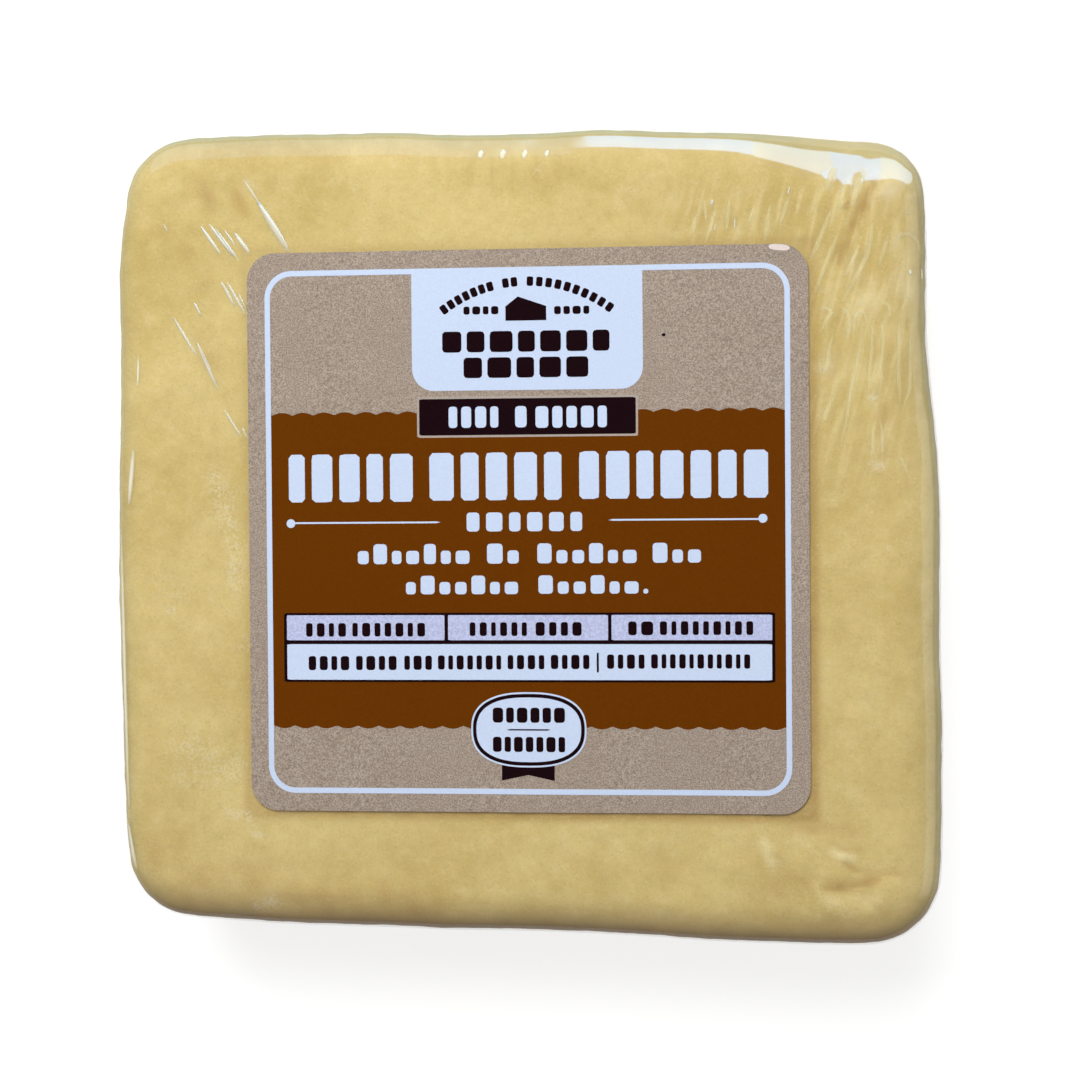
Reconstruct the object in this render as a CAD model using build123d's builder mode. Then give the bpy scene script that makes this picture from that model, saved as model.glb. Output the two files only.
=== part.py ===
"""Cheddar block in a shrunk-on clear film, with a square paper label stuck on its front face.

The block is a slab cut from a larger cheese. It lies on its back with the label up: the face that
rests is at Z = 0, +Z goes out through the label, +Y to the label's top edge and +X to its right.
The origin is the middle of the overall rectangle, on the resting face. Sizes are in millimetres.
"""

import os

from build123d import *

# ---- the wrapped block ----
pack_width = 95.0  # overall, along X
pack_length = 93.0  # overall, along Y
pack_thickness = 25.4  # overall, along Z
edge_radius = 4.0  # the rounding that the tight film presses round the front and back edges

# Each corner's rounding in plan, and how far the sharp corner would stand inside the overall
# rectangle along X and along Y: the block isn't cut quite square.
corner_radius = {"top_left": 8.0, "top_right": 6.5, "bottom_right": 8.5, "bottom_left": 8.0}
corner_inset = {
    "top_left": (1.7, 0.7),
    "top_right": (2.3, 2.8),
    "bottom_right": (0.6, 0.4),
    "bottom_left": (1.2, 2.6),
}

# Each side between its corners, as (place along the side, inset from the overall rectangle). A
# place is a share of the half width or half length, from -1 to 1, and an inset is in millimetres.
left_side = [(-0.62, 0.45), (-0.12, 0.0), (0.5, 0.8)]
top_side = [(-0.65, 0.0), (-0.1, 0.75), (0.5, 1.2)]
right_side = [(0.64, 1.7), (0.44, 1.7), (0.24, 0.65), (-0.2, 0.3), (-0.62, 0.0)]
bottom_side = [(0.72, 0.0), (0.2, 0.9), (-0.45, 1.3)]

# ---- the label ----
label_size = 63.5  # square
label_corner_radius = 3.2
label_thickness = 0.15  # paper with its adhesive and its clear laminate
label_offset = (0.9, 0.5)  # of its middle from the block's, along X and Y

half_width = pack_width / 2
half_length = pack_length / 2


def corner(name):
    """The sharp corner of the outline that the named rounding is cut from."""
    inset_x, inset_y = corner_inset[name]
    sign_x = -1 if "left" in name else 1
    sign_y = -1 if "bottom" in name else 1
    return (sign_x * (half_width - inset_x), sign_y * (half_length - inset_y))


def upright(side, sign):
    """The points of the left side, sign -1, or of the right side, sign 1."""
    return [(sign * (half_width - inset), place * half_length) for place, inset in side]


def level(side, sign):
    """The points of the bottom side, sign -1, or of the top side, sign 1."""
    return [(place * half_width, sign * (half_length - inset)) for place, inset in side]


# The outline seen from the front: four slightly bowed sides, then a rounding at each corner.
with BuildSketch() as outline:
    with BuildLine():
        Spline(corner("bottom_left"), *upright(left_side, -1), corner("top_left"))
        Spline(corner("top_left"), *level(top_side, 1), corner("top_right"))
        Spline(corner("top_right"), *upright(right_side, 1), corner("bottom_right"))
        Spline(corner("bottom_right"), *level(bottom_side, -1), corner("bottom_left"))
    make_face()
    for name, radius in corner_radius.items():
        sharp = outline.vertices().sort_by_distance((*corner(name), 0))[0]
        fillet(sharp, radius=radius)

# The cheese in its sealed film: one solid out to the film's outer face.
with BuildPart() as wrapped_cheese:
    add(outline.sketch)
    extrude(amount=pack_thickness)
    faces_up_and_down = wrapped_cheese.faces().filter_by(Axis.Z)
    fillet(faces_up_and_down.edges(), radius=edge_radius)
wrapped_cheese.part.label = "wrapped_cheese"

# The label: a thin plate on the front face.
with BuildPart() as label:
    with BuildSketch(Plane.XY.offset(pack_thickness)):
        with Locations(label_offset):
            RectangleRounded(label_size, label_size, label_corner_radius)
    extrude(amount=label_thickness)
label.part.label = "label"

os.makedirs("parts", exist_ok=True)
for piece in (wrapped_cheese, label):
    export_step(piece.part, f"parts/{piece.part.label}.step")
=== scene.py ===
"""Looks of the wrapped cheddar block: the cheese, its clear film, its paper label and the label's print.

Shapes are worked out in millimetres, in the CAD model's frame, and written to the meshes in metres.
"""

from math import radians

import bpy
import numpy as np
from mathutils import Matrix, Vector


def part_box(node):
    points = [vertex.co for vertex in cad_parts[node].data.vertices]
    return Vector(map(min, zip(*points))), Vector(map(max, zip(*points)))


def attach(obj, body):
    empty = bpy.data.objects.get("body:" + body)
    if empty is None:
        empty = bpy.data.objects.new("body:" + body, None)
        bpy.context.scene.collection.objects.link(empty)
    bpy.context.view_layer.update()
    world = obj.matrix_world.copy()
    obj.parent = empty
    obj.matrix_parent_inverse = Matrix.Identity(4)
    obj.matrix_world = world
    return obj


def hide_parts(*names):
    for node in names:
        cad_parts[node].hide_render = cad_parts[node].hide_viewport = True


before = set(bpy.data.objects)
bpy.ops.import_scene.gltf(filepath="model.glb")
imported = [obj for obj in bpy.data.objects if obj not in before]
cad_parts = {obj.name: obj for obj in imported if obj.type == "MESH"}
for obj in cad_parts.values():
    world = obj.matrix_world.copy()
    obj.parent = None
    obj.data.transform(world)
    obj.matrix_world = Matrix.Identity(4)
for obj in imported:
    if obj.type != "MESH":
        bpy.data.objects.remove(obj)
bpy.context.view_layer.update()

# ---- The cheese ----
# A slab of pale yellow cheddar, wire-cut from a large block and squeezed by its wrapping, so its
# edges are soft, its faces a little uneven, and one corner has lumps and cracks where it crumbled.

METRE = 1000.0  # millimetres in a metre
EDGE_DEPTH = 3.0  # how far the rounded edges reach down from the front face and up from the back
EDGE_WIDTH = 5.4  # how far the same rounding reaches in over each face
SLOPED_CORNER = 50.0  # the angle, in degrees from +X, of the corner that slopes down further in
CHEESE_INSET = 0.14  # from the block's outer skin to the cheese, along its surface's normal
GIRTH = 365  # the length of the block's outline, near enough
WALL_START = 3.9  # how far from the front and back the CAD piece's straight side wall is looked for
OUTLINE_STEPS = 7200  # directions in which the outline is worked out
CORNER_SPAN, SIDE_SPAN = 2.0, 14.0  # lengths of outline that are averaged, at a corner and along a side
LEFT_DRAWN, LOW_DRAWN = 0.4, 0.2  # how far the film draws in the left side and the lower side
FLOW_SPAN = 28  # length of outline over which the rings' direction in over the faces is averaged

block_low, block_high = (np.array(corner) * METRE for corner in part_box("wrapped_cheese"))
label_low, label_high = (np.array(corner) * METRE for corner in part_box("label"))
label_middle = (label_low + label_high)[:2] / 2
label_half = (label_high - label_low)[0] / 2
front_z, back_z = block_high[2], block_low[2]


def ramp(values, zero, step):
    """0 at one value and 1 a step further on, which may be backwards, with a straight line between."""
    return np.clip((values - zero) / step, 0, 1)


def below_face(points):
    """How far places are inside the nearer of the front and back faces."""
    return (front_z - back_z) / 2 - np.abs(points[..., 2] - (front_z + back_z) / 2)


def evenly(line, count, closed=True):
    """This many points in even steps along a line through the given ones, all round it or from end to end."""
    line = np.vstack([line, line[:1]]) if closed else np.array(line)
    length = np.concatenate([[0], np.cumsum(np.hypot(*np.diff(line, axis=0).T))])
    place = np.linspace(0, length[-1], count, endpoint=not closed)
    return np.stack([np.interp(place, length, line[:, axis]) for axis in (0, 1)], 1)


def running_mean(values, span):
    """Values round a closed loop, each averaged with its neighbours under a bell this many values long."""
    weight = np.hanning(span + 2)[1:-1]
    wrapped = np.concatenate([values[-span:], values, values[:span]])
    return np.convolve(wrapped, weight / weight.sum(), "same")[span:-span]


def block_outline(columns):
    """Points evenly spaced round the block's outline, with their outward normals, as two (columns, 2) arrays.

    The outline is the distance of the CAD piece's side wall from the middle as a function of the angle, read
    between the wall's own points and smoothed by a running mean, which is longer along the sides than round
    the corners. The film draws the left and lower sides in a little.
    """
    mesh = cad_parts["wrapped_cheese"].data
    points = np.empty(len(mesh.vertices) * 3, np.float32)
    mesh.vertices.foreach_get("co", points)
    points = points.reshape(-1, 3) * METRE
    wall = points[below_face(points) > WALL_START]
    angle, first = np.unique(np.round(np.arctan2(wall[:, 1], wall[:, 0]), 5), return_index=True)
    reach = np.hypot(wall[first, 0], wall[first, 1])
    turn = np.arange(OUTLINE_STEPS) / OUTLINE_STEPS * 2 * np.pi
    fine = np.interp(turn, angle, reach, period=2 * np.pi)
    at_corner, at_side = (running_mean(fine, int(OUTLINE_STEPS * span / GIRTH)) for span in (CORNER_SPAN, SIDE_SPAN))
    from_corner = ramp(np.abs(np.degrees(turn) % 90 - 45), 6, 9)
    fine = at_corner + (at_side - at_corner) * from_corner**2 * (3 - 2 * from_corner)
    fine -= LEFT_DRAWN * np.maximum(-np.cos(turn), 0) + LOW_DRAWN * np.maximum(-np.sin(turn), 0)
    points = evenly(np.stack([fine * np.cos(turn), fine * np.sin(turn)], 1), columns)
    ahead = np.roll(points, -1, 0) - np.roll(points, 1, 0)
    normals = np.stack([ahead[:, 1], -ahead[:, 0]], 1)
    return points, normals / np.linalg.norm(normals, axis=1, keepdims=True)


def edge_shape(plan):
    """The rounded edge's width, depth and power near plan places: a quarter of an ellipse, whose power falls
    from 2 towards 1.6 at the sloped corner, which makes it more of a bevel."""
    away = (np.degrees(np.arctan2(plan[..., 1], plan[..., 0])) - SLOPED_CORNER + 180) % 360 - 180
    sloped = np.exp(-((away / 8.0) ** 2))
    return EDGE_WIDTH + 3.0 * sloped, EDGE_DEPTH + 2.3 * sloped, 2.0 - 0.4 * sloped


def at_height(plan, height):
    """Plan places with a height added to each, its own or one for all."""
    return np.concatenate([plan, np.broadcast_to(height, plan.shape[:-1])[..., None]], -1)


def block_skin(inset, columns, rows):
    """The block's skin at a depth inside its outer face: (rows, columns, 3) points and outward normals.

    The second parameter runs from the front's middle out under the label, over the front margin, round
    the front edge, down the side, round the back edge and in to the back's middle. Both edges are
    quarter ellipses. rows says how many rings each of those six stretches has.
    """
    outline, outward = block_outline(columns)
    width, depth, power = edge_shape(outline)
    # further in, the rings follow averages of the outline's normals, which don't cross at a corner
    spread = np.stack([running_mean(outward[:, axis], columns * FLOW_SPAN // GIRTH) for axis in (0, 1)], 1)
    spread /= np.linalg.norm(spread, axis=1, keepdims=True)
    wall_line = outline - outward * inset
    ray = outline - label_middle
    square = label_middle + ray * label_half / np.abs(ray).max(1, keepdims=True)
    front, back = front_z - inset, back_z + inset

    def level(share, start, end, height):
        """Rings that step across a flat face from one closed line to another."""
        return at_height(start + share[:, None, None] * (end - start), height)

    def edge(share, face, sign, width, depth, power):
        """Rings round a quarter turn of edge: share is 0 at the face and 1 at the side."""
        bend = share[:, None] * np.pi / 2
        step = width * (1 - np.sin(bend) ** (2 / power))
        height = face - sign * depth * (1 - np.maximum(np.cos(bend), 0) ** (2 / power))
        return at_height(wall_line - spread * step[..., None], height)

    under_label, margin, front_edge, side, back_edge, back_face = (np.linspace(0, 1, count + 1) for count in rows)
    share = side[1:-1, None]
    side_height = (front - depth) * (1 - share) + (back + EDGE_DEPTH) * share
    points = np.concatenate(
        [
            level(under_label[:-1], label_middle, square, front),
            level(margin[:-1], square, wall_line - spread * width[:, None], front),
            edge(front_edge, front, 1, width, depth, power),
            at_height(np.broadcast_to(wall_line, side_height.shape + (2,)), side_height),
            edge(back_edge[::-1], back, -1, EDGE_WIDTH, EDGE_DEPTH, 2.0),
            level(back_face[1:], wall_line - spread * EDGE_WIDTH, 0.0, back),
        ]
    )
    round_it = np.roll(points, -1, 1) - np.roll(points, 1, 1)
    normals = np.cross(np.gradient(points, axis=0), round_it)
    normals[0], normals[-1] = (0, 0, 1), (0, 0, -1)
    return points, normals / np.maximum(np.linalg.norm(normals, axis=2, keepdims=True), 1e-9)


def rings_to_faces(rows, columns, inward=False):
    """Quads between neighbouring rings and triangles to the two poles, with the starting pole numbered 0,
    the rings' points from 1 on, row by row, and the closing pole last."""
    grid = 1 + np.arange(rows * columns).reshape(rows, columns)
    beside = np.roll(grid, -1, 1)
    quads = np.stack([grid[:-1], grid[1:], beside[1:], beside[:-1]], 2).reshape(-1, 4)
    start = np.stack([np.zeros(columns, int), grid[0], beside[0]], 1)
    end = np.stack([beside[-1], grid[-1], np.full(columns, 1 + rows * columns)], 1)
    triangles = np.concatenate([start, end])
    return (quads[:, ::-1], triangles[:, ::-1]) if inward else (quads, triangles)


def skin_points(points):
    """A skin's rings as one list of points, each end ring drawn together to a single pole."""
    return np.concatenate([points[:1, 0], points[1:-1].reshape(-1, points.shape[-1]), points[-1:, 0]])


def make_piece(name, points, quads, triangles, middle=(0.0, 0.0)):
    """An object at the origin whose mesh has these faces and these points, given in millimetres from a middle."""
    mesh = bpy.data.meshes.new(name)
    mesh.vertices.add(len(points))
    mesh.vertices.foreach_set("co", ((points + (*middle, 0.0)) / METRE).astype(np.float32).ravel())
    mesh.loops.add(quads.size + triangles.size)
    mesh.loops.foreach_set("vertex_index", np.concatenate([quads.ravel(), triangles.ravel()]).astype(np.int32))
    sizes = np.concatenate([np.full(len(quads), 4), np.full(len(triangles), 3)])
    mesh.polygons.add(len(sizes))
    mesh.polygons.foreach_set("loop_start", np.concatenate([[0], np.cumsum(sizes)[:-1]]).astype(np.int32))
    mesh.polygons.foreach_set("use_smooth", np.ones(len(sizes), bool))
    mesh.update(calc_edges=True)
    mesh.set_sharp_from_angle(angle=radians(50))
    piece = bpy.data.objects.new(name, mesh)
    bpy.context.scene.collection.objects.link(piece)
    return piece


def store(piece, name, values):
    """Keeps one number for each point of a piece, for its material to read."""
    piece.data.attributes.new(name, "FLOAT", "POINT").data.foreach_set("value", values.astype(np.float32).ravel())


def ripple(points, size, seed, waves=28):
    """A smooth random height, about 1 either way: the sum of sine waves of about this length in millimetres,
    each in a direction and at a phase of its own."""
    draw = np.random.default_rng(seed)
    way = draw.normal(size=(waves, 3))
    way *= (2 * np.pi / (size * draw.uniform(0.7, 1.6, waves)) / np.linalg.norm(way, axis=1))[:, None]
    return np.sin(points @ way.T + draw.uniform(0, 2 * np.pi, waves)).sum(-1) * (2 / waves) ** 0.5 / 1.6


def from_line(points, *ends):
    """How far points lie from a straight line on the front, given by its ends' x and y, and their share along it."""
    start, end = np.reshape(ends, (2, 2))
    way = end - start
    along = np.clip(((points[..., :2] - start) @ way) / (way @ way), 0, 1)
    return np.hypot(*np.moveaxis(points[..., :2] - start - along[..., None] * way, -1, 0)), along


def bell(distance, width):
    """A bell curve over distance, 1 in the middle and about a third at one width."""
    return np.exp(-((distance / width) ** 2))


def on_front(points):
    """1 over the front face and its edge, fading to 0 down the side."""
    return ramp(points[..., 2], front_z - 6, 3)


def steady(points):
    """1 over most of the pack, and less where it is drawn taut over its top and bottom edges."""
    return 1 - 0.75 * ramp(np.abs(points[..., 1]), 38, 4)


def broad_relief(points):
    """Broad waves of the whole pack, in millimetres, a little below the outer skin, and weaker at its sides."""
    face = ramp(below_face(points), 3, -2.5)
    return (0.02 + 0.08 * face * steady(points)) * ripple(points, 26, 3) - 0.05 - 0.13 * face


# Folds between the label and the top right corner, where film and cheese are ridged together: x and y of
# both ends, height and width. The one below zero is the long hollow beside the highest.
FAN = [
    (22.5, 36.9, 21.4, 32.6, 0.05, 0.5),
    (24.0, 37.4, 23.6, 33.8, 0.06, 0.5),
    (26.7, 37.0, 26.2, 34.6, 0.05, 0.5),
    (28.6, 37.2, 27.9, 32.8, 0.07, 0.5),
    (30.8, 38.9, 29.5, 34.0, 0.1, 0.5),
    (35.2, 40.4, 34.3, 37.0, 0.12, 0.55),
    (36.9, 39.4, 36.2, 36.0, 0.08, 0.4),
    (38.9, 40.4, 37.3, 35.8, 0.13, 0.6),
    (39.6, 38.4, 35.6, 29.8, -0.09, 0.6),
    (37.6, 36.0, 33.4, 27.2, 0.07, 0.5),
    (39.8, 34.6, 36.4, 26.0, 0.08, 0.55),
    (41.5, 33.6, 40.2, 29.2, 0.07, 0.6),
]
# Lumps of crumbled cheese at the lower right corner: x, y, height and width.
LUMPS = [
    (34.8, -41.6, 0.2, 1.0),
    (36.0, -42.3, 0.16, 0.8),
    (36.2, -35.9, 0.15, 0.9),
    (35.3, -37.9, 0.18, 1.3),
    (28.4, -35.4, 0.16, 1.1),
    (39.3, -41.4, 0.17, 1.5),
    (35.6, -34.2, 0.14, 1.0),
    (25.0, -37.8, 0.12, 1.8),
    (30.5, -37.5, 0.12, 1.6),
]


def gathers(points):
    """The short upright gathers along the top edge: a cosine two and a half millimetres long, in a patch that
    fades at its sides."""
    across, down = points[..., 0], points[..., 1]
    patch = ramp(across, -9.5, 3) * ramp(across, 8.5, -3) * bell(down - 41.0, 1.9)
    return np.cos((across + 3.9) / 2.5 * 2 * np.pi) * patch * on_front(points)


def smooth_relief(points):
    """The broad waves with smaller hollows."""
    return broad_relief(points) + 0.03 * ripple(points, 9, 4) * (0.3 + 0.7 * on_front(points)) * steady(points)


def common_relief(points):
    """The unevenness that film and cheese share: waves and hollows, the fan of folds and the lumps of the
    crumbled corner, in millimetres."""
    front = on_front(points)
    across, down = points[..., 0], points[..., 1]
    height = smooth_relief(points)
    for *line, rise, width in FAN:
        distance, along = from_line(points, *line)
        height += rise * bell(distance, width) * np.sqrt(4 * along * (1 - along)) * front
    for x, y, rise, width in LUMPS:
        height += rise * bell(np.hypot(across - x, down - y), width) * front
    return height


# Cracks of the crumbled corner: x and y of both ends, depth and width.
CRACKS = [
    (34.0, -39.5, 36.9, -39.7, 0.11, 0.6),
    (36.7, -39.6, 40.2, -38.2, 0.115, 0.65),
    (36.3, -36.7, 37.8, -37.6, 0.12, 0.5),
    (37.6, -37.5, 42.8, -38.0, 0.08, 0.6),
    (35.8, -35.2, 38.2, -35.3, 0.1, 0.45),
    (38.5, -40.2, 41.0, -42.6, 0.09, 0.8),
    (30.6, -32.6, 37.4, -33.3, 0.08, 1.1),
]
# White bloom of tiny crystals: x and y of both ends, width and strength.
BLOOM = [
    (-30.4, -42.6, -28.6, -42.0, 1.0, 1.0),
    (-33.6, -31.5, -31.4, -31.9, 0.7, 0.8),
    (-31.6, -32.0, -29.9, -34.6, 0.5, 0.8),
    (-38.6, -27.4, -34.4, -27.8, 2.2, 0.45),
    (-40.4, -8.4, -40.0, -8.3, 0.45, 0.9),
    (-31.6, -12.4, -31.2, -11.9, 0.8, 0.5),
    (-32.9, -3.0, -31.9, -1.0, 1.3, 0.5),
    (-38.0, 16.6, -36.6, 17.4, 0.9, 0.3),
    (2.2, 41.0, 2.6, 40.9, 0.4, 0.9),
    (43.2, 27.6, 43.6, 27.4, 0.5, 0.6),
    (-44.6, -36.0, -44.0, -38.5, 0.8, 0.35),
    (-34.6, 6.6, -33.4, 1.6, 1.5, 0.75),
    (-33.0, -0.5, -32.4, -5.5, 1.3, 0.7),
    (-41.0, -5.0, -39.0, -6.5, 2.2, 0.35),
    (-38.5, -24.0, -33.0, -26.5, 2.6, 0.55),
    (12.0, 38.6, 13.2, 38.4, 0.5, 0.5),
    (39.7, 15.3, 40.0, 14.9, 0.35, 0.9),
    (39.7, 7.8, 40.7, 7.6, 0.45, 0.8),
    (43.1, -0.8, 43.2, -0.9, 0.3, 1.0),
    (41.3, -1.6, 41.0, -1.7, 0.3, 0.6),
    (28.0, -35.2, 29.0, -37.4, 0.9, 0.35),
    (34.4, -41.0, 36.6, -42.4, 1.0, 0.45),
]
# Warmer, darker places, where the cheese is oilier, and painted shade in the hollows beside folds; the two long rows
# along the lower edge make it darker towards the bottom. Each row holds x and y of both ends, reach and strength.
# The last rows, below zero, are the paler tops of lumps.
WARM_AND_SHADED = [
    (-35.9, 39.8, -35.0, 37.6, 1.5, 0.58),
    (-32.6, 40.6, -31.0, 36.8, 1.0, 0.62),
    (-37.6, 31.6, -36.2, 29.4, 2.6, 0.5),
    (-36.0, 22.6, -35.0, 19.6, 1.8, 0.5),
    (13.0, 37.0, 21.0, 36.0, 2.6, 0.3),
    (36.1, 39.4, 34.9, 36.6, 0.45, 0.8),
    (35.4, 38.8, 34.4, 34.4, 0.45, 0.6),
    (37.6, 38.8, 36.9, 36.2, 0.4, 0.8),
    (40.0, 39.1, 36.0, 30.4, 0.75, 1.0),
    (41.0, 14.0, 40.8, 9.0, 0.9, 0.6),
    (41.2, 22.0, 41.4, 16.0, 0.6, 0.4),
    (31.2, -32.8, 36.6, -33.4, 1.2, 0.5),
    (34.2, -39.6, 40.0, -38.6, 0.8, 0.7),
    (29.0, -40.0, 32.0, -39.2, 2.2, 0.5),
    (-38.0, -39.5, -12.0, -42.5, 4.5, 0.55),
    (-41.0, -36.0, -38.0, -39.5, 4.0, 0.5),
    (27.6, -34.6, 28.2, -36.6, 0.9, -0.65),
    (35.2, -35.4, 36.8, -36.1, 0.9, -0.55),
    (33.4, -39.9, 34.9, -41.3, 0.9, -0.65),
    (31.2, -34.0, 32.2, -34.8, 1.0, -0.4),
    (34.6, -33.4, 36.2, -33.2, 0.7, -0.35),
    (37.6, -40.6, 40.4, -41.6, 1.4, -0.4),
    (42.6, 32.0, 43.8, 27.0, 1.2, -0.35),
]


def cheese_relief(points):
    """The cheese's own unevenness, with how cracked and how bloomed each place is, and how much warmth and painted
    shade it has, up to 1. The painted shade is a shadow in a band along the label's edge, most at its right and
    below, the hollows between the gathers, and the hollows beside folds in the table of warm places."""
    height = 0.035 * ripple(points, 3.2, 5) + 0.02 * ripple(points, 1.6, 6) - 0.05
    front = on_front(points)
    cracked, bloomed = np.zeros(front.shape), np.zeros(front.shape)
    for *line, depth, width in CRACKS:
        distance, along = from_line(points, *line)
        groove = bell(distance * (1 + 0.3 * ripple(points, 2.0, 7)), width) * front
        height -= depth * groove
        cracked = np.maximum(cracked, groove * depth / 0.2)
    for *line, width, strength in BLOOM:
        distance, along = from_line(points, *line)
        bloomed = np.maximum(bloomed, strength * bell(distance + 0.25 * ripple(points, 1.2, 8), width) * front)
    across, down = np.moveaxis(points[..., :2] - label_middle, -1, 0)
    # painted shadow: the cheese is darker in a band along the label's edge, most at its right and below
    label_edge_shadow = bell(np.maximum(np.abs(across), np.abs(down)) - label_half - 0.3, 0.9) * front
    label_edge_shadow *= 0.85 + 0.35 * np.clip((across - down) / 30, -1, 1)
    # painted shade in the hollows between the gathers, which have no relief of their own
    warmth_and_shade = np.maximum(label_edge_shadow, -0.6 * gathers(points))
    for *line, reach, strength in WARM_AND_SHADED:
        distance, along = from_line(points, *line)
        patch = strength * bell(distance, reach) * (1 + 0.4 * ripple(points, 2.6, 9)) * front
        warmth_and_shade = np.maximum(warmth_and_shade, patch) if strength > 0 else warmth_and_shade + patch
    return np.minimum(height, 0.02), cracked, bloomed, warmth_and_shade


def painted_pleat_patch(points):
    """How thick with fine pleats each place is, from 0 to 1, where their lit and shaded sides are painted in the
    cheese's colour: between the label and the top right corner and down the right margin."""
    across, down = points[..., 0], points[..., 1]
    above = ramp(across, 15, 6) * ramp(across, 45, -4) * bell(down - 35.6, 3.4)
    beside = ramp(across, 32.5, 2) * ramp(across, 45, -2) * ramp(down, 3, 9) * ramp(down, 38, -4)
    return np.maximum(above, 0.8 * beside) * on_front(points)


def turned_away(points, normals):
    """How far each place turns away from the front or back, and how far it turns downwards, from 0 to 1, both
    weaker down the side wall: masks of painted shade, darker and greener on the rounded edges and browner on the
    lower edge."""
    near_face = ramp(below_face(points), 6, -4)
    painted_rim_shade = ramp(np.abs(normals[..., 2]), 0.96, -0.46) * (0.15 + 0.85 * near_face)
    painted_rim_shade *= np.clip(0.54 + normals[..., 0] * 0.08 + normals[..., 1] * 0.8, 0, 2)
    # painted shade on the lower edge: the more a place faces down, the browner
    low = np.clip(-1.35 * normals[..., 1] - 0.15, 0, 1) * (0.1 + 0.9 * near_face)
    return painted_rim_shade, low


class Shade:
    """One output of a shader node. Arithmetic on these and on plain numbers adds the Math nodes for it."""

    def __init__(self, tree, output=None):
        self.tree, self.output = tree, output

    def node(self, kind, settings=None, output=0, **inputs):
        """Adds a node and gives one of its outputs. Its settings, such as an operation, are made first, then
        each socket's value or link, by its name in lower case with underscores or as in3 for the fourth."""
        node = self.tree.nodes.new("ShaderNode" + kind)
        for name, value in (settings or {}).items():
            setattr(node, name, value)
        names = {socket.name.lower().replace(" ", "_"): socket for socket in reversed(node.inputs)}
        names.update({f"in{place}": socket for place, socket in enumerate(node.inputs)})
        for name, value in inputs.items():
            if isinstance(value, Shade):
                self.tree.links.new(value.output, names[name])
            else:
                names[name].default_value = value
        return Shade(self.tree, node.outputs[output])

    def maths(self, operation, first, second):
        return self.node("Math", {"operation": operation}, in0=first, in1=second)

    def __add__(self, other):
        return self.maths("ADD", self, other)

    def __mul__(self, other):
        return self.maths("MULTIPLY", self, other)

    def __rsub__(self, other):
        return self.maths("SUBTRACT", other, self)

    def __pow__(self, power):
        return self.maths("POWER", self, power)

    __radd__, __rmul__ = __add__, __mul__

    def between(self, low, high):
        """0 up to low, 1 from high on, and a smooth step between."""
        return self.node("MapRange", {"interpolation_type": "SMOOTHSTEP"}, value=self, from_min=low, from_max=high)

    def mix(self, first, second):
        """The first colour where this is 0 and the second where it is 1."""
        return self.node("Mix", {"data_type": "RGBA"}, output=2, in0=self, in6=first, in7=second)


def start_material(name):
    """A material with nothing in it yet, and a Shade that its nodes are made from."""
    material = bpy.data.materials.new(name)
    material.use_nodes = True
    material.node_tree.nodes.clear()
    return material, Shade(material.node_tree)


def finish_material(piece, material, shader):
    """Sends a shader to the material's output and puts the material on a piece."""
    output = shader.tree.nodes.new("ShaderNodeOutputMaterial")
    shader.tree.links.new(shader.output, output.inputs["Surface"])
    piece.data.materials.append(material)


def painted(colour, *layers):
    """A colour with others laid over it in turn, each where its own mask is 1."""
    for mask, over in layers:
        colour = mask.mix(colour, over)
    return colour


def stored(shade, name):
    """What store kept under this name."""
    return shade.node("Attribute", {"attribute_name": name}, output="Fac")


def noise(shade, place, size, detail=2.0, roughness=0.5):
    """Noise whose lumps are about this many millimetres across."""
    return shade.node("TexNoise", vector=place, scale=METRE / size, detail=detail, roughness=roughness)


columns, rows = 640, (5, 24, 14, 20, 12, 16)
points, normals = block_skin(CHEESE_INSET, columns, rows)
height, cracked, bloomed, warmth_and_shade = cheese_relief(points)
painted_rim_shade, low = turned_away(points, normals)
points = points + normals * (height + common_relief(points))[..., None]
cheese = make_piece("cheese", skin_points(points), *rings_to_faces(len(points) - 2, columns))
places = {"cracked": cracked, "bloomed": bloomed, "warmth_and_shade": warmth_and_shade, "painted_pleat_patch": painted_pleat_patch(points), "painted_rim_shade": painted_rim_shade, "low": low}
for name, values in places.items():
    store(cheese, name, skin_points(values[..., None])[:, 0])

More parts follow.
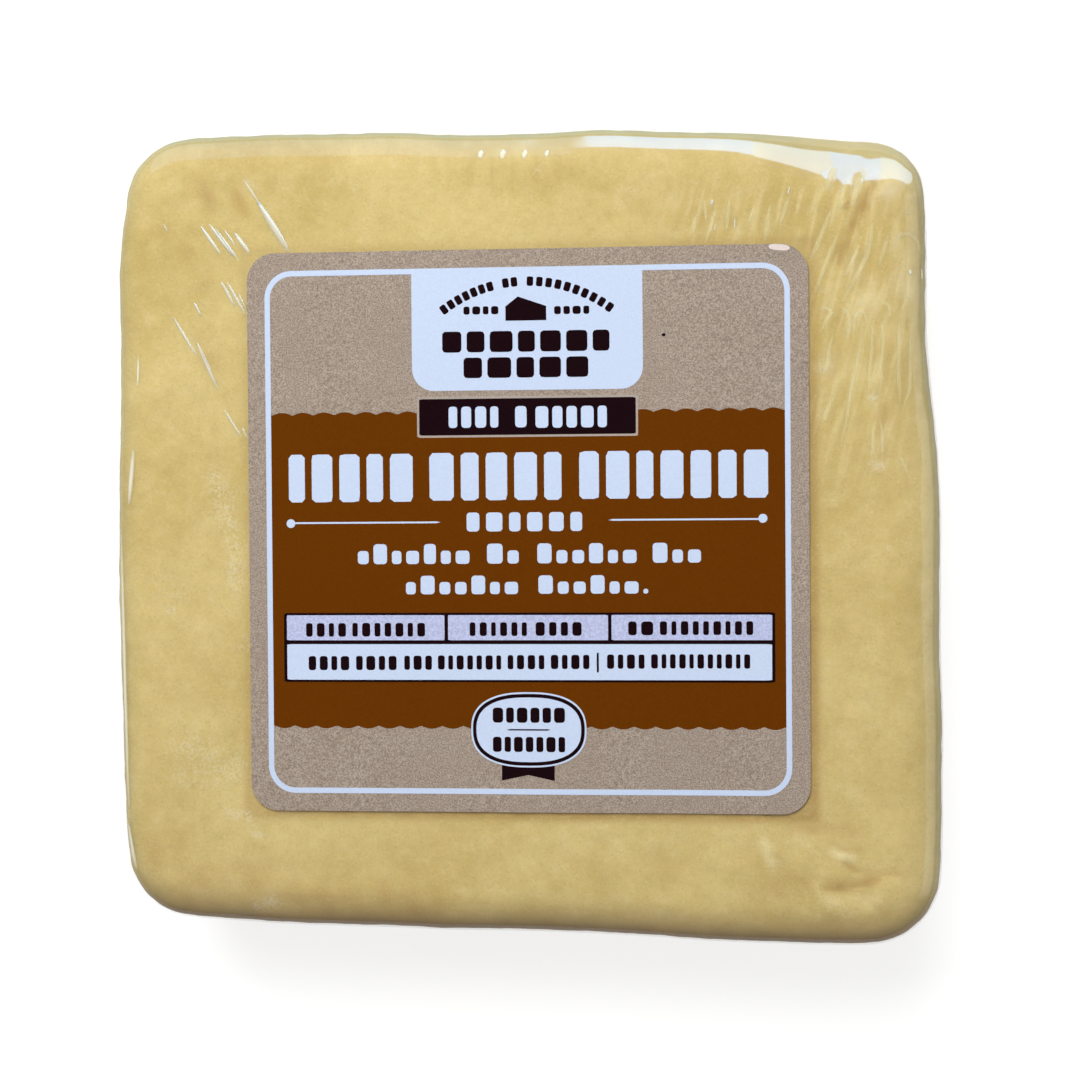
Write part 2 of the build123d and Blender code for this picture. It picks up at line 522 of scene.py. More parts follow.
material, shade = start_material("cheddar")
place = shade.node("TexCoord", output="Object")
crack, bloom, oily_and_shaded, painted_pleats, edge, under = (stored(shade, name) for name in places)
broad = noise(shade, place, 22, 3.0, 0.55)
patch = noise(shade, place, 7, 4.0, 0.6)
mottle = noise(shade, place, 2.2, 4.0, 0.65)
grain = noise(shade, place, 0.8, 3.0, 0.7)
dust = noise(shade, place, 0.28, 2.0, 0.6)
leaning = shade.node(
    "Mapping", {"vector_type": "TEXTURE"}, vector=place, rotation=(0, 0, radians(-15)), scale=(1.0, 7.0, 1.0)
)
streak = noise(shade, leaning, 0.9, 1.0, 0.5)
speckled = bloom * (dust.between(0.42, 0.6) * 0.75 + grain.between(0.4, 0.62) * 0.55)
colour = painted(
    (broad * 0.6 + patch * 0.4).between(0.34, 0.66).mix((0.67, 0.505, 0.168, 1), (0.805, 0.64, 0.265, 1)),
    (mottle.between(0.48, 0.74) * 0.3, (0.9, 0.76, 0.39, 1)),
    ((1 - mottle).between(0.5, 0.76) * 0.24, (0.54, 0.375, 0.11, 1)),
    # darker and warmer where the cheese is oilier, and painted shade: the label's shadow and the hollows between
    # gathers and beside folds
    ((oily_and_shaded * (0.35 + mottle * 0.6)).between(0.0, 1.0), (0.54, 0.345, 0.1, 1)),
    ((0 - oily_and_shaded).between(0.0, 1.0), (0.92, 0.79, 0.42, 1)),
    # painted highlight and shade: pale and dark streaks for the lit and shaded sides of fine pleats, which have no
    # relief
    (painted_pleats * streak.between(0.5, 0.66) * 0.45, (0.92, 0.79, 0.42, 1)),
    (painted_pleats * (1 - streak).between(0.5, 0.66) * 0.35, (0.58, 0.42, 0.12, 1)),
    (grain.between(0.4, 0.72) * 0.11, (0.56, 0.4, 0.12, 1)),
    (dust.between(0.585, 0.66) * 0.17, (0.93, 0.82, 0.49, 1)),
    ((1 - dust).between(0.6, 0.68) * 0.2, (0.39, 0.26, 0.08, 1)),
    (crack.between(0.05, 0.9) * 0.52, (0.51, 0.285, 0.065, 1)),
    (speckled.between(0.0, 1.1) * 0.6, (0.87, 0.79, 0.55, 1)),
    # painted shade: the rounded edges darker and greener
    (edge * 0.76, (0.375, 0.395, 0.22, 1)),
    # painted shade: the lower edge browner
    (under, (0.33, 0.2, 0.08, 1)),
)
bump = shade.node("Bump", distance=0.0002, strength=0.5, height=grain * 0.7 + dust * 0.3)
surface = shade.node(
    "BsdfPrincipled",
    base_color=colour,
    roughness=0.55 + grain * 0.1,
    normal=bump,
    subsurface_weight=0.25,
    subsurface_radius=(0.0028, 0.0016, 0.0006),
    subsurface_scale=1.0,
    specular_ior_level=0.25,
)
finish_material(cheese, material, surface)
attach(cheese, "root")
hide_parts("wrapped_cheese")

# ---- The clear film ----
# One shrunk-on skin of clear plastic, a twentieth of a millimetre thick and sealed all round. It is
# drawn tight over the cheese, with fine pleats that run from the corners to the label.

FILM_INSET = 0.02  # from the CAD solid's face to the film's outer face
FILM_THICKNESS = 0.05

# Sharp pleats, most of them at the upper left, where they lean down and to the right and glint, partly by
# mirroring the lamps and partly by a painted highlight, the white cloudy colour of their tops: x and y of both
# ends, half width and height.
GLINTS = [
    (-31.2, 40.8, -29.2, 37.8, 0.2, 0.05),
    (-29.6, 38.2, -25.9, 32.3, 0.46, 0.31),
    (-36.2, 35.5, -33.9, 32.2, 0.24, 0.16),
    (-35.2, 35.7, -32.4, 32.0, 0.24, 0.16),
    (-34.5, 35.2, -31.9, 31.6, 0.2, 0.13),
    (-33.4, 35.0, -32.2, 33.2, 0.15, 0.1),
    (-32.3, 34.7, -30.5, 32.2, 0.3, 0.2),
    (-33.9, 29.2, -32.3, 26.3, 0.22, 0.145),
    (-33.2, 29.1, -31.0, 25.2, 0.2, 0.13),
    (-31.9, 27.8, -31.0, 26.0, 0.14, 0.09),
    (-39.5, 25.2, -36.8, 20.7, 0.2, 0.13),
    (-37.1, 26.9, -36.2, 25.2, 0.18, 0.12),
    (-36.8, 22.3, -34.3, 16.8, 0.28, 0.19),
    (-33.7, 14.6, -31.7, 11.4, 0.14, 0.09),
    (-31.6, 12.5, -31.0, 11.2, 0.15, 0.1),
    (-40.5, 35.8, -40.0, 34.9, 0.12, 0.06),
    (24.6, 35.3, 24.5, 33.9, 0.12, 0.08),
    (22.5, 34.7, 22.2, 33.8, 0.11, 0.07),
    (30.7, 38.7, 30.4, 37.6, 0.16, 0.1),
    (22.1, 37.3, 21.9, 36.6, 0.24, 0.14),
]
# Soft narrow folds between the label and the right edge, which hold a little air: x and y of each place that
# they go through, and half width. All are equally high.
STREAK_RISE = 0.03
STREAKS = [
    (20.2, 35.6, 19.9, 33.4, 0.26),
    (21.2, 37.4, 21.4, 34.9, 0.25),
    (22.5, 36.4, 21.3, 32.5, 0.28),
    (24.0, 37.5, 23.6, 33.7, 0.28),
    (26.7, 36.6, 26.2, 34.6, 0.25),
    (28.5, 36.6, 27.8, 32.6, 0.28),
    (30.6, 37.6, 29.5, 34.1, 0.3),
    (36.9, 38.8, 36.3, 37.1, 36.1, 35.8, 0.3),
    (35.3, 36.2, 33.9, 32.7, 32.8, 30.2, 0.34),
    (36.0, 33.4, 34.8, 30.6, 33.3, 26.6, 0.34),
    (38.3, 32.0, 36.7, 28.6, 0.28),
    (39.8, 34.6, 39.2, 30.8, 37.4, 27.6, 36.2, 25.4, 0.34),
    (41.5, 33.2, 40.4, 29.5, 0.32),
    (41.8, 31.2, 42.3, 32.8, 43.6, 33.3, 44.7, 32.5, 45.1, 30.7, 0.3),
    (42.6, 24.0, 42.6, 20.9, 42.5, 17.3, 42.7, 15.3, 42.6, 14.2, 0.3),
    (43.8, 22.2, 43.8, 19.0, 43.8, 15.9, 43.3, 14.8, 42.8, 13.3, 0.25),
    (40.6, 23.9, 40.9, 21.1, 40.5, 18.5, 40.7, 16.5, 40.1, 15.2, 0.25),
    (39.7, 23.9, 39.6, 20.7, 39.2, 16.5, 39.5, 15.3, 0.25),
    (39.6, 8.1, 39.7, 11.2, 40.0, 12.9, 0.25),
    (40.7, 7.9, 40.7, 11.4, 40.4, 12.7, 0.22),
    (38.3, 23.7, 38.6, 22.3, 38.1, 19.6, 37.2, 15.9, 36.9, 12.9, 36.2, 10.7, 36.1, 9.3, 0.28),
    (37.6, 21.6, 37.7, 23.7, 38.2, 24.8, 38.8, 24.6, 39.1, 23.0, 0.22),
    (36.3, 25.2, 37.1, 24.3, 37.1, 22.6, 36.7, 21.5, 0.3),
    (33.8, 24.9, 34.7, 25.2, 35.3, 24.5, 34.6, 23.9, 34.0, 22.3, 0.26),
    (33.8, 19.6, 34.0, 17.8, 34.7, 18.5, 34.9, 20.7, 35.4, 22.3, 0.3),
    (35.0, 14.8, 34.2, 12.3, 0.34),
    (40.4, 25.9, 41.5, 25.2, 41.7, 23.7, 0.26),
    (43.9, 26.6, 42.9, 24.7, 0.25),
    (42.6, 8.7, 43.1, 7.6, 43.5, 6.6, 0.25),
    (35.7, 40.9, 35.2, 39.4, 34.6, 37.8, 0.51),
    (38.9, 40.6, 38.2, 38.4, 37.4, 36.2, 0.55),
]
# Whiter folds: the dots at the heads of the gathers and in the right margin, the glints and the long drawn line
# of the left edge, whose white cloudy tops are painted highlights beside what they mirror, and the flap of film
# beside its lower corner, with the same numbers as the sharp pleats.
WHITE_FOLDS = [
    (-3.9, 43.5, -4.0, 42.5, 0.36, 0.06),
    (-1.4, 43.5, -1.5, 42.4, 0.38, 0.06),
    (1.1, 43.4, 1.0, 42.4, 0.34, 0.06),
    (3.6, 43.3, 3.5, 42.5, 0.3, 0.05),
    (43.9, 29.2, 43.9, 28.6, 0.2, 0.1),
    (45.2, 29.5, 45.2, 28.0, 0.1, 0.05),
    (-43.7, 20.8, -43.8, 17.3, 0.16, 0.06),
    (-44.4, 10.2, -45.1, 3.8, 0.34, 0.12),
    (-46.25, 0.6, -46.1, -6.0, -45.95, -19.0, -45.75, -28.0, -45.6, -31.5, 0.24, 0.1),
    (-45.8, -33.0, -45.3, -36.0, -44.8, -38.4, 0.28, 0.05),
]
# Cloudy places where air is caught under the film: x, y, reach and strength.
CLOUDS = [
    (41.5, 38.1, 1.3, 0.8),
    (34.7, 18.6, 1.1, 0.5),
    (40.2, 7.6, 0.6, 0.7),
    (37.4, 30.2, 1.1, 0.25),
    (38.7, 25.9, 1.5, 0.3),
    (42.2, 27.2, 1.6, 0.3),
    (39.8, 15.0, 0.4, 0.6),
    (-30.4, 40.4, 0.5, 0.5),
]


def film_relief(points):
    """The film's own unevenness in millimetres: a fine tremble in the right margin, all along the way that
    the film is drawn, and a hollow where the label presses it down."""
    across, down = points[..., 0], points[..., 1]
    margin = ramp(across, 33.5, 2) * ramp(down, -14, 10)
    beneath = label_half - np.abs(points[..., :2] - label_middle).max(-1)
    tremble = 0.022 * margin * ripple(points * (1.0, 0.22, 1.0), 1.6, 12)
    return (tremble - 0.05 * ramp(beneath, 0, 1.5)) * on_front(points)


def film_face(plan):
    """Places on the film's outer face over plan places: the front's level, less the rounded edge's drop by the
    distance to the outline, plus the relief."""
    outline, outward = block_outline(720)
    distance = np.linalg.norm(plan[..., None, :] - outline, axis=-1).min(-1)
    width, depth, power = edge_shape(plan)
    over = np.clip((FILM_INSET + width - distance) / width, 0, 0.99)
    drop = depth * (1 - (1 - over**power) ** (1 / power))
    places = at_height(plan, front_z - FILM_INSET - drop)
    places[..., 2] += common_relief(places) + film_relief(places)
    return places


def repeat_faces(solids, quads, triangles):
    """The points of several like solids as one list, and the first one's faces carried to all of them."""
    first = (np.arange(len(solids)) * solids.shape[1])[:, None, None]
    return solids.reshape(-1, 3), (quads + first).reshape(-1, 4), (triangles + first).reshape(-1, 3)


def join(*groups):
    """Several groups of points, quads and triangles as one."""
    points, quads, triangles = zip(*groups)
    starts = np.cumsum([0] + [len(part) for part in points])
    return np.concatenate(points), *(
        np.concatenate([part + start for part, start in zip(faces, starts)]) for faces in (quads, triangles)
    )


def to_power(wave, power):
    """A wave raised to a power, with its sign kept."""
    return np.sign(wave) * np.abs(wave) ** power


def folds(paths, reach, rise, face, peak, around=12):
    """Narrow closed ridges along paths on a face: points, quads and triangles, and how near the top each point is.

    The second parameter goes round the ridge's section, reach to each side and rise high, which is a lens
    where peak is 1 and more of a tent as peak grows; it shrinks to nothing at both ends by the root of a parabola.
    """
    count, stations = paths.shape[:2]
    share = (np.arange(stations) + 0.5) / stations
    taper = np.sqrt(4 * share * (1 - share))[:, None]
    turn = -np.arange(around) / around * 2 * np.pi
    across, above = to_power(np.cos(turn), peak), to_power(np.sin(turn), peak)
    above *= np.where(above < 0, 0.3, 1.0)
    way = np.gradient(paths, axis=1)
    side = np.stack([-way[..., 1], way[..., 0]], -1) / np.linalg.norm(way, axis=-1, keepdims=True)
    out = reach[:, None, None] * taper * across
    rings = face(paths[:, :, None] + side[:, :, None] * out[..., None])
    rings[..., 2] += rise[:, None, None] * taper * above
    poles = face(paths[:, [0, -1]])
    solid = np.concatenate([poles[:, :1], rings.reshape(count, -1, 3), poles[:, 1:]], 1)
    top = np.zeros(solid.shape[:2])
    top[:, 1:-1] = (taper * np.maximum(above, 0)).ravel()
    return *repeat_faces(solid, *rings_to_faces(stations, around)), top.ravel()


columns, rows = 820, (12, 30, 24, 15, 10, 8)
points, normals = block_skin(FILM_INSET, columns, rows)
outer = points + normals * (common_relief(points) + film_relief(points))[..., None]
inner_columns, inner_rows = 240, (3, 14, 8, 8, 6, 6)
points, normals = block_skin(FILM_INSET + FILM_THICKNESS, inner_columns, inner_rows)
inner = points + normals * smooth_relief(points)[..., None]
outer_points, inner_points = skin_points(outer), skin_points(inner)
outer_faces = rings_to_faces(len(outer) - 2, columns)
inner_faces = rings_to_faces(len(inner) - 2, inner_columns, inward=True)
film = make_piece("film", *join((outer_points, *outer_faces), (inner_points, *inner_faces)))
cloud = np.zeros(len(outer_points))
for x, y, reach, strength in CLOUDS:
    distance = np.hypot(outer_points[:, 0] - x, outer_points[:, 1] - y)
    cloud += strength * bell(distance * (1 + 0.35 * ripple(outer_points, 1.8, 14)), reach) * on_front(outer_points)
store(film, "haze", np.concatenate([cloud, np.zeros(len(inner_points))]))
store(film, "outside", np.concatenate([np.ones(len(outer_points)), np.zeros(len(inner_points))]))

material, shade = start_material("clear_film")
place = shade.node("TexCoord", output="Object")
hazy, outside = stored(shade, "haze"), stored(shade, "outside")
stretch = shade.node("Mapping", vector=place, scale=(1.0, 0.35, 1.0))
crinkle = noise(shade, stretch, 2.2, 2.0)
bump = shade.node("Bump", distance=0.0001, strength=0.12, height=crinkle)
clear = shade.node("BsdfTransparent")
gloss = shade.node("BsdfAnisotropic", color=(1, 1, 1, 1), roughness=0.09, normal=bump)
cream = shade.node("BsdfDiffuse", color=(0.95, 0.84, 0.48, 1))
# white for cloudy film, and the painted highlight on the tops of the sharp pleats and whiter folds
white = shade.node("BsdfDiffuse", color=(0.95, 0.93, 0.78, 1))
cloudy = shade.node("MixShader", in0=outside, in1=cream, in2=white)
lit = 1 - shade.node("LightPath", output="Is Shadow Ray")
skin = shade.node("MixShader", in0=hazy * lit * 0.35, in1=clear, in2=cloudy)
slant = shade.node("LayerWeight", blend=0.5, output="Facing")
mirror = (0.085 + slant**5.0 * 0.4) * outside
surface = shade.node("MixShader", in0=mirror, in1=skin, in2=gloss)
finish_material(film, material, surface)
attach(film, "root")
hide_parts("wrapped_cheese")


def drawn_line(places, stations=24):
    """A line through these places in even steps, its bends softened by a running mean."""
    line = evenly(places, stations, closed=False)
    for again in range(3):  # each time a quarter, a half and a quarter of three neighbours
        line[1:-1] = (line[:-2] + 2 * line[1:-1] + line[2:]) / 4
    return line


# Each kind of fold with how peaked, how cloudy and how bright its top is; the white cloudy tops of the sharp
# pleats and whiter folds are painted highlights.
KINDS = (
    (GLINTS, 1.7, 2.1, 1.2),
    ([(*row, STREAK_RISE) for row in STREAKS], 1.2, 1.05, 0.0),
    (WHITE_FOLDS, 1.2, 2.7, 0.8),
)
groups, hazes, brights = [], [], []
for kind, peak, haze, bright in KINDS:
    paths = np.array([drawn_line(np.reshape(row[:-2], (-1, 2))) for row in kind])
    reach, rise = np.array([row[-2:] for row in kind]).T
    *group, top = folds(paths, reach, rise, film_face, peak)
    groups.append(group)
    hazes.append(top * haze)
    brights.append((top > 0) * bright)
pleats = make_piece("film_pleats", *join(*groups))
store(pleats, "haze", np.concatenate(hazes))
store(pleats, "outside", np.concatenate(brights))
pleats.data.materials.append(material)
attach(pleats, "root")
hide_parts("wrapped_cheese")

# ---- The paper label ----
# A die-cut square of speckled kraft paper with small rounded corners, stuck on the film. It
# follows the film's unevenness, and its upper right corner is creased and a little lifted.

LABEL_CORNER = 3.2
PAPER_THICKNESS = 0.14


def rounded_square(width, height, radius, points, middle=(0.0, 0.0)):
    """A rectangle with round corners, as points evenly spaced round it, anticlockwise."""
    corners = []
    for quarter, (sign_x, sign_y) in enumerate([(1, 1), (-1, 1), (-1, -1), (1, -1)]):
        turn = (quarter + np.linspace(0, 1, 17)) * np.pi / 2
        arc = np.stack([np.cos(turn), np.sin(turn)], 1) * radius
        corners.append(arc + (sign_x * (width / 2 - radius), sign_y * (height / 2 - radius)))
    return evenly(np.concatenate(corners), points) + middle


def paper_face(plan):
    """Places on the paper's face over plan places, all from the label's middle: the film's broad waves, with
    the paper's edge a little lifted beside the upper right corner."""
    height = front_z - FILM_INSET + broad_relief(at_height(plan + label_middle, front_z)) + PAPER_THICKNESS
    lift = bell(plan[..., 0] - 28.6, 1.9) * ramp(plan[..., 1], 29.6, 2.2) ** 2
    return at_height(plan, height + 0.3 * lift)


def plates(outlines, lift, rings=1, depth=0.12):
    """Thin closed plates that lie on the label: one for each outline in a (plates, points, 2) array.

    Each plate's face is its outline drawn in towards its middle in rings, lift above the paper's face;
    its back is the same rings, lower by depth.
    """
    outlines = np.asarray(outlines, float)
    middle = outlines.mean(1, keepdims=True)
    share = np.linspace(0, 1, rings + 1)[1:, None, None]
    plan = middle[:, None] + share * (outlines - middle)[:, None]
    face = paper_face(plan) + (0, 0, lift)
    under = face[:, ::-1] - (0, 0, depth)
    top = paper_face(middle) + (0, 0, lift)
    count, points = outlines.shape[:2]
    body = np.concatenate([face, under], 1).reshape(count, -1, 3)
    solid = np.concatenate([top, body, top - (0, 0, depth)], 1)
    return repeat_faces(solid, *rings_to_faces(2 * rings, points))


paper_outline = rounded_square(2 * label_half, 2 * label_half, LABEL_CORNER, 520)
# Two creases bend round across the upper right corner: where each starts, is drawn towards and ends.
CREASES = np.array([((26.75, 31.5), (27.2, 30.7), (27.8, 30.2)), ((29.1, 30.3), (30.0, 29.2), (31.2, 27.7))])
bend = np.linspace(0, 1, 22)[:, None]
start, towards, end = CREASES.transpose(1, 0, 2)[:, :, None]
creases = start * (1 - bend) ** 2 + 2 * towards * bend * (1 - bend) + end * bend**2
crease_folds = folds(creases, np.array([0.22, 0.16]), np.array([0.09, 0.06]), paper_face, 1.5)[:3]
paper = join(plates([paper_outline], 0.0, 60, PAPER_THICKNESS), crease_folds)
label_paper = make_piece("label_paper", *paper, label_middle)

material, shade = start_material("kraft_paper")
place = shade.node("TexCoord", output="Object")
speck = noise(shade, place, 0.16, 2.0, 0.7)
fibre = noise(shade, place, 0.55, 3.0, 0.75)
cloud = noise(shade, place, 5, 3.0)
colour = painted(
    speck.between(0.3, 0.7).mix((0.24, 0.18, 0.138, 1), (0.535, 0.443, 0.362, 1)),
    (fibre.between(0.55, 0.7) * 0.34, (0.66, 0.56, 0.47, 1)),
    ((1 - fibre).between(0.58, 0.72) * 0.4, (0.155, 0.105, 0.075, 1)),
    (cloud.between(0.35, 0.65) * 0.14, (0.27, 0.2, 0.145, 1)),
)
bump = shade.node("Bump", distance=0.00005, strength=0.4, height=speck)
surface = shade.node(
    "BsdfPrincipled", base_color=colour, roughness=0.5 + speck * 0.12, normal=bump, specular_ior_level=0.35
)
finish_material(label_paper, material, surface)
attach(label_paper, "root")
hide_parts("label")

# ---- The label's print ----
# Flat fields of ink: a brown band with scalloped edges, a dark banner, a white frame and panels, and
# plain blocks where wording would be. Each ink is one piece, a few hundredths of a millimetre thick.

WHITE = (0.64, 0.745, 0.95)
PALE_GREY = (0.565, 0.612, 0.865)
BROWN = (0.146, 0.0375, 0.0006)
DARK = (0.0115, 0.003, 0.0048)
SCALLOP = 2.42  # width of one scallop along the band's edges
BAND_TOP, BAND_BOTTOM, BAND_HALF = 13.45, -22.15, 29.1


def blocks(left, right, low, high, count, gap, uneven=False):
    """A word's worth of plain rounded blocks side by side from left to right, standing on low. Their widths
    vary a little; all reach high or, where uneven, most stop at two thirds of it."""
    place = np.arange(count)
    share = 1 + 0.13 * np.sin(2.4 * place + left)
    edges = left + np.concatenate([[0], np.cumsum(share)]) / share.sum() * (right + gap - left)
    tall = (high - low) * np.where(uneven & (np.sin(2.1 * place + left) < 0.35), 0.66, 1.0)
    outlines = []
    for start, end, height in zip(edges[:-1], edges[1:], tall):
        width = end - start - gap
        corner = 0.3 * min(width, 1.2)
        outlines.append(rounded_square(width, height, corner, 24, (start + width / 2, low + height / 2)))
    return outlines


def words(gap, *rows, uneven=False):
    """The blocks of several words, each row a word's left, right, low, high and count of blocks."""
    return [outline for row in rows for outline in blocks(*row, gap, uneven)]


def frame_line(width, height, radius, line, points, lift, steps=7):
    """A flat rounded frame of ink: outlines side by side make its face, and the same ones lower down its back."""
    across = np.linspace(-line, line, steps)
    face = [rounded_square(width + step, height + step, radius + step / 2, points) for step in across]
    plan = np.stack(face + face[::-1])
    ring = paper_face(plan)
    ring[..., 2] += np.repeat([lift, lift - 0.1], steps)[:, None]
    grid = np.arange(2 * steps * points).reshape(-1, points)
    beside = np.roll(grid, -1, 1)
    below, below_beside = np.roll(grid, -1, 0), np.roll(beside, -1, 0)
    quads = np.stack([grid, below, below_beside, beside], 2).reshape(-1, 4)
    return ring.reshape(-1, 3), quads, np.empty((0, 3), int)


def ink(name, group, base, mottle=0.04):
    """One colour of print as a piece: the ink's colour with a faint mottle where the paper's grain shows through."""
    piece = make_piece(name, *group, label_middle)
    material, shade = start_material(name)
    place = shade.node("TexCoord", output="Object")
    grain = noise(shade, place, 0.25, 2.0, 0.6)
    darker = tuple(channel * (1 - 2.2 * mottle) for channel in base) + (1,)
    lighter = tuple(min(channel * (1 + mottle), 1) for channel in base) + (1,)
    colour = grain.between(0.3, 0.7).mix(darker, lighter)
    bump = shade.node("Bump", distance=0.00003, strength=0.25, height=grain)
    surface = shade.node(
        "BsdfPrincipled", base_color=colour, roughness=0.42 + grain * 0.1, normal=bump, specular_ior_level=0.04
    )
    finish_material(piece, material, surface)
    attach(piece, "root")
    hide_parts("label")
    return piece


def scalloped_band(points):
    """The band's outline: a rectangle whose long edges swell and dip in shallow scallops."""
    across = np.linspace(-BAND_HALF, BAND_HALF, points)
    wave = 0.34 * np.abs(np.sin(across / SCALLOP * np.pi))
    low = np.stack([across, BAND_BOTTOM - wave + 0.17], 1)
    high = np.stack([across[::-1], BAND_TOP + wave[::-1] - 0.17], 1)
    upright = np.linspace(0, 1, 80)[1:-1, None]
    right = low[-1] + upright * (high[0] - low[-1])
    left = high[-1] + upright * (low[0] - high[-1])
    return np.concatenate([low, right, high, left])


def oval(width, height, middle, points=160):
    """An oval's outline, a little squarer than an ellipse: cosine and sine to the power 0.8."""
    turn = np.arange(points) / points * 2 * np.pi
    return to_power(np.stack([np.cos(turn), np.sin(turn)], 1), 0.8) * (width / 2, height / 2) + middle


def tilted(outline, angle, middle):
    """The same outline turned by an angle about a place."""
    cosine, sine = np.cos(angle), np.sin(angle)
    return (outline - middle) @ np.array([[cosine, sine], [-sine, cosine]]) + middle


# Inks that overlap lie a hundredth of a millimetre or more apart in height, in the order of printing.
ink("brown_band", plates([scalloped_band(260)], 0.01, 34), BROWN)

BANNER = (0.25, 12.93)
banner = rounded_square(24.5, 4.1, 0.12, 160, BANNER)
banner_edge = rounded_square(25.0, 4.6, 0.15, 160, BANNER)
ink("banner_edge", plates([banner_edge], 0.022, 10), (0.47, 0.4, 0.35))
ink("dark_banner", plates([banner], 0.036, 10), DARK, 0.1)

# The plaque hangs from the frame and has round lower corners.
plaque = rounded_square(26.1, 16.4, 2.5, 300, (0.28, 24.1))
plaque = np.stack([plaque[:, 0], np.minimum(plaque[:, 1], 29.4)], 1)
heading = words(
    0.8,
    (-27.1, -12.8, 3.42, 8.85, 5),
    (-10.9, 4.1, 3.52, 8.9, 5),
    (6.1, 27.2, 3.6, 8.95, 7),
)
small_word = blocks(-6.7, 6.4, 0.0, 2.15, 6, 0.75)
sentence = words(
    0.55,
    (-19.2, -6.4, -3.64, -1.37, 7),
    (-4.4, -0.8, -3.63, -1.37, 2),
    (1.3, 12.5, -3.62, -1.37, 6),
    (14.3, 19.7, -3.6, -1.37, 3),
    (-13.7, -0.9, -7.08, -4.97, 7),
    (1.4, 12.7, -7.05, -4.97, 6),
    uneven=True,
)
full_stop = oval(0.55, 0.55, (13.5, -6.78), 16)
rule = [
    rounded_square(17.3, 0.2, 0.08, 60, (-18.3, 1.07)),
    rounded_square(17.3, 0.2, 0.08, 60, (18.0, 1.23)),
    rounded_square(1.0, 1.0, 0.49, 60, (-26.9, 1.02)),
    rounded_square(1.0, 1.0, 0.49, 60, (26.6, 1.3)),
]
banner_words = words(
    0.45, (-8.65, -3.0, 11.7, 14.1, 4), (-1.1, 0.2, 11.7, 14.1, 1), (1.2, 9.25, 11.62, 14.05, 5)
)
SEAL = (0.18, -22.4)
panels_low = rounded_square(55.0, 4.05, 0.06, 240, (0.04, -14.75))
ink(
    "white_print",
    join(
        frame_line(58.8, 58.8, 2.8, 0.62, 720, 0.022),
        plates([plaque], 0.024, 24),
        plates([panels_low], 0.05, 24),
        plates(heading + small_word, 0.026, 2),
        plates(sentence, 0.026, 2),
        plates([full_stop], 0.026),
        plates(rule, 0.024, 8),
        plates(banner_words, 0.052, 2),
        plates([oval(13.1, 8.5, SEAL)], 0.024, 8),
    ),
    WHITE,
    0.02,
)
row_one = [
    rounded_square(width, 2.85, 0.06, 120, (middle, -10.86))
    for middle, width in ((-18.4, 18.15), (0.16, 18.15), (18.6, 17.95))
]
ink("grey_panels", plates(row_one, 0.05, 12), PALE_GREY, 0.08)

claims = rounded_square(55.7, 7.85, 0.08, 300, (0.04, -13.1))
claim_words = words(
    0.5,
    (-25.25, -20.65, -11.87, -10.33, 4),
    (-19.9, -11.55, -11.85, -10.31, 7),
    (-6.45, 0.05, -11.8, -10.26, 6),
    (1.05, 6.25, -11.78, -10.24, 4),
    (11.5, 14.3, -11.72, -10.18, 2),
    (15.05, 25.45, -11.7, -10.16, 9),
)
claim_words += words(
    0.42,
    (-24.98, -20.3, -15.68, -14.08, 4),
    (-19.5, -14.85, -15.66, -14.06, 4),
    (-13.95, -10.8, -15.63, -14.03, 3),
    (-10.1, -2.9, -15.6, -14.0, 7),
    (-2.15, 2.0, -15.56, -13.96, 4),
    (2.75, 7.1, -15.53, -13.93, 4),
    (9.1, 13.3, -15.49, -13.89, 4),
    (14.05, 25.1, -15.46, -13.86, 11),
)
divider = rounded_square(0.24, 2.3, 0.08, 24, (8.05, -14.8))
plaque_words = words(0.6, (-9.3, 9.6, 20.2, 22.55, 7), (-6.9, 7.2, 17.3, 19.6, 5))
plaque_words += words(0.3, (-6.85, -2.9, 24.45, 25.35, 4), (3.4, 7.35, 24.35, 25.25, 4))
# A row of small blocks bent along an arc over the plaque's wedge.
ARC_RADIUS, ARC_MIDDLE = 15.9, (0.28, 12.2)
arc_block = rounded_square(0.72, 1.05, 0.18, 24, (ARC_MIDDLE[0], ARC_MIDDLE[1] + ARC_RADIUS))
arc_turns = np.concatenate([np.linspace(36, 15, 7), np.linspace(8.5, 5.0, 2), np.linspace(-1.5, -36, 10)])
arc_words = [tilted(arc_block, turn, ARC_MIDDLE) for turn in np.radians(arc_turns)]
wedge = np.array([(-2.1, 23.7), (2.5, 23.7), (2.5, 25.3), (-0.7, 26.4), (-2.1, 25.3)])
tails = [
    np.array([(-2.9, -26.0), (-2.9, -28.15), (0.1, -27.5), (0.1, -25.8)]),
    np.array([(0.1, -25.8), (0.1, -27.5), (3.1, -28.15), (3.1, -26.0)]),
]
seal_words = words(0.35, (-3.9, 4.3, -21.6, -19.9, 6), (-3.9, 4.3, -24.9, -23.2, 7))
seal_rule = [rounded_square(5.0, 0.16, 0.06, 24, SEAL)]
ink(
    "dark_print",
    join(
        plates([claims], 0.034, 24),
        plates([oval(12.7, 8.1, SEAL)], 0.038, 8),
        plates(tails, 0.022, 3),
        plates(claim_words, 0.064),
        plates(plaque_words, 0.038, 2),
        plates(arc_words, 0.038),
        plates([wedge], 0.038, 4),
        plates([divider], 0.064),
        plates([oval(0.42, 0.34, (15.67, 21.87), 12)], 0.015),
    ),
    DARK,
    0.1,
)
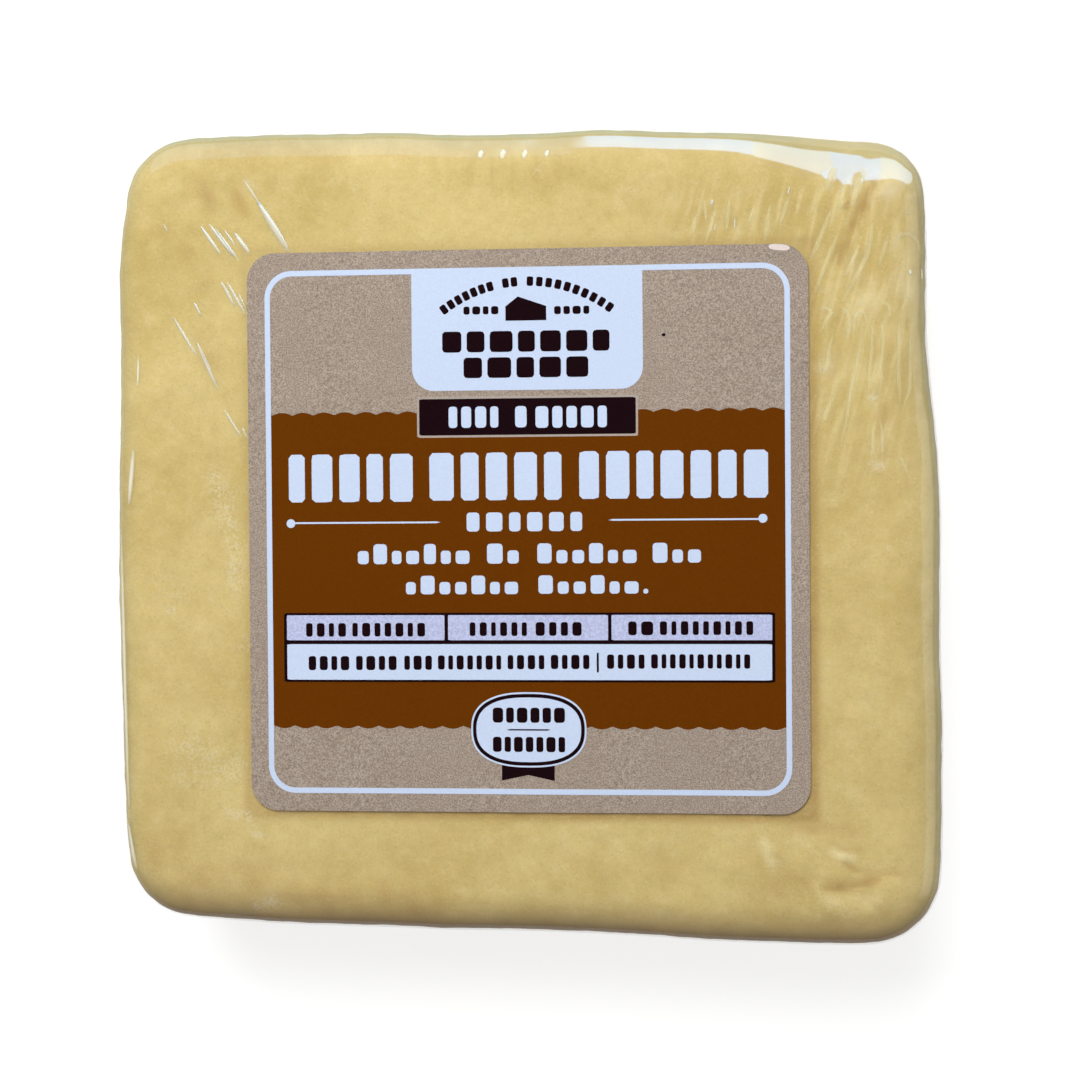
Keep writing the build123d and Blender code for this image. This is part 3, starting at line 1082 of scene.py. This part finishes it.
# A painted highlight: a pale plate where light glints on the lifted edge of the label's upper right corner.
LIFTED_EDGE = (28.55, 31.36)
corner_glint = tilted(oval(2.35, 0.68, LIFTED_EDGE, 32), -0.1, LIFTED_EDGE)
ink("corner_glint", plates([corner_glint], 0.03, 3), (0.92, 0.8, 0.74), 0.02)
ink("seal_face", plates([oval(11.9, 7.3, SEAL)], 0.052, 8), WHITE, 0.02)
ink("seal_print", plates(seal_words + seal_rule, 0.066), DARK, 0.1)

# ---- Floor, light and camera ----
# A pale floor that stays white behind the block, soft light from all round, and a broad window of
# light beyond the block's top right, which the film mirrors along its top edge.

bpy.ops.mesh.primitive_plane_add(size=4.0, location=(0, 0, -0.00002))
floor = bpy.context.object
floor.name = "floor"
material, shade = start_material("pale_floor")
seen = shade.node("LightPath", output="Is Camera Ray")
mirrored = shade.node("LightPath", output="Is Glossy Ray")
matt = shade.node("BsdfDiffuse", color=(0.55, 0.55, 0.55, 1))
glow = shade.node("Emission", color=(1, 1, 1, 1), strength=seen * 0.75 + mirrored * 0.45)
finish_material(floor, material, shade.node("AddShader", in0=matt, in1=glow))

world = bpy.data.worlds.new("soft_world")
world.use_nodes = True
background = world.node_tree.nodes["Background"].inputs
background["Color"].default_value = (1, 1, 1, 1)
background["Strength"].default_value = 0.27
bpy.context.scene.world = world


def softbox(name, place, aim, width, height, power, mirrored=True, colour=(1, 1, 1)):
    """A rectangular lamp turned to face a place. Either gloss mirrors it or it gives plain light."""
    lamp = bpy.data.lights.new(name, "AREA")
    lamp.shape = "RECTANGLE"
    lamp.size, lamp.size_y = width, height
    lamp.energy, lamp.color = power, colour
    light = bpy.data.objects.new(name, lamp)
    light.location = place
    away = Vector(place) - Vector(aim)
    light.rotation_euler = away.to_track_quat("Z", "Y").to_euler()
    light.visible_glossy, light.visible_diffuse = mirrored, not mirrored
    bpy.context.scene.collection.objects.link(light)


SKY, PALE_SKY = (0.2, 0.5, 1.0), (0.45, 0.68, 1.0)
softbox("key", (-0.07, 0.28, 0.42), (0, 0, 0), 0.32, 0.32, 2.33, mirrored=False)
softbox("window", (0.035, 0.5, 0.245), (0.035, 0.0, 0.02), 0.17, 0.29, 1.05, colour=SKY)
softbox("side_window", (0.38, 0.5, 0.255), (0.38, 0.0, 0.02), 0.52, 0.31, 2.65, colour=PALE_SKY)
softbox("dim_window", (-0.31, 0.5, 0.297), (-0.31, 0.0, 0.02), 0.5, 0.394, 0.6, colour=SKY)
softbox("right_wall", (0.55, -0.05, 0.28), (0, -0.05, 0.02), 0.6, 0.3, 0.36)

camera = bpy.data.objects.new("camera", bpy.data.cameras.new("camera"))
camera.data.lens = 75
camera.data.sensor_width = 36
camera.location = np.array([*(label_middle + (28.3, 4.6)), front_z + 251.7]) / METRE
camera.rotation_euler = (radians(-1.31), radians(6.04), radians(-0.43))
bpy.context.scene.collection.objects.link(camera)
bpy.context.scene.camera = camera
bpy.context.scene.view_settings.view_transform = "Standard"
